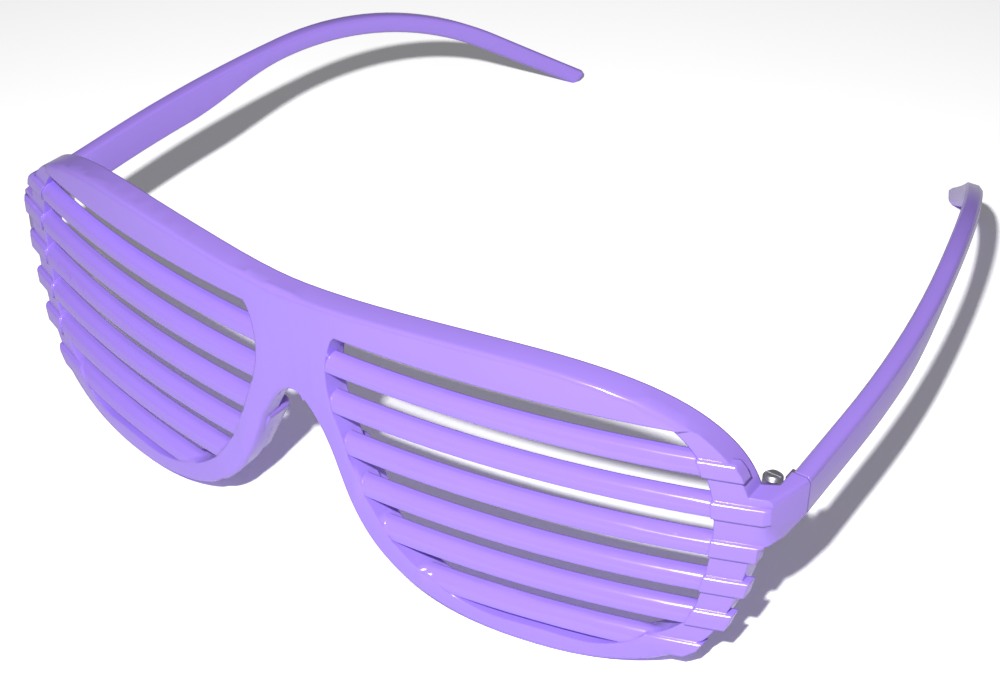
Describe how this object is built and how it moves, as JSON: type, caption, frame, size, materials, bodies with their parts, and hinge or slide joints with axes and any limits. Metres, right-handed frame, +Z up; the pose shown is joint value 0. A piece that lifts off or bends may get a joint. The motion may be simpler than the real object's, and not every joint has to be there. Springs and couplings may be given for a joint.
{
  "type": "slatted novelty glasses",
  "caption": "Glossy moulded glasses frame with horizontal slats across each rim in place of lenses and hinged arms that fold.",
  "frame": {"origin": "middle of the bounding box at the height of the table it stands on, with the arms open", "axes": "+X to the side of one arm, +Y from the front back along the arms, +Z up"},
  "size_m": [0.1492, 0.1486, 0.0517],
  "materials": {
    "front_plastic": "gloss",
    "temple_plastic": "gloss",
    "hinge_steel": "satin"
  },
  "bodies": {
    "front": {"front_frame": "front_plastic", "right_lug_hinge_leaf": "hinge_steel", "left_lug_hinge_leaf": "hinge_steel", "right_hinge_screw": "hinge_steel", "left_hinge_screw": "hinge_steel"},
    "right_arm": {"right_temple": "temple_plastic", "right_temple_hinge_leaf": "hinge_steel"},
    "left_arm": {"left_temple": "temple_plastic", "left_temple_hinge_leaf": "hinge_steel"}
  },
  "joints": [
    {"name": "right_arm_fold", "type": "hinge", "parent": "front", "child": "right_arm", "pos_m": [0.0695, -0.05172, 0.0316], "axis": [0, 0.0732, 0.9973], "range_deg": [0, 79]},
    {"name": "left_arm_fold", "type": "hinge", "parent": "front", "child": "left_arm", "pos_m": [-0.0695, -0.05172, 0.0316], "axis": [0, -0.0732, -0.9973], "range_deg": [0, 74]}
  ]
}
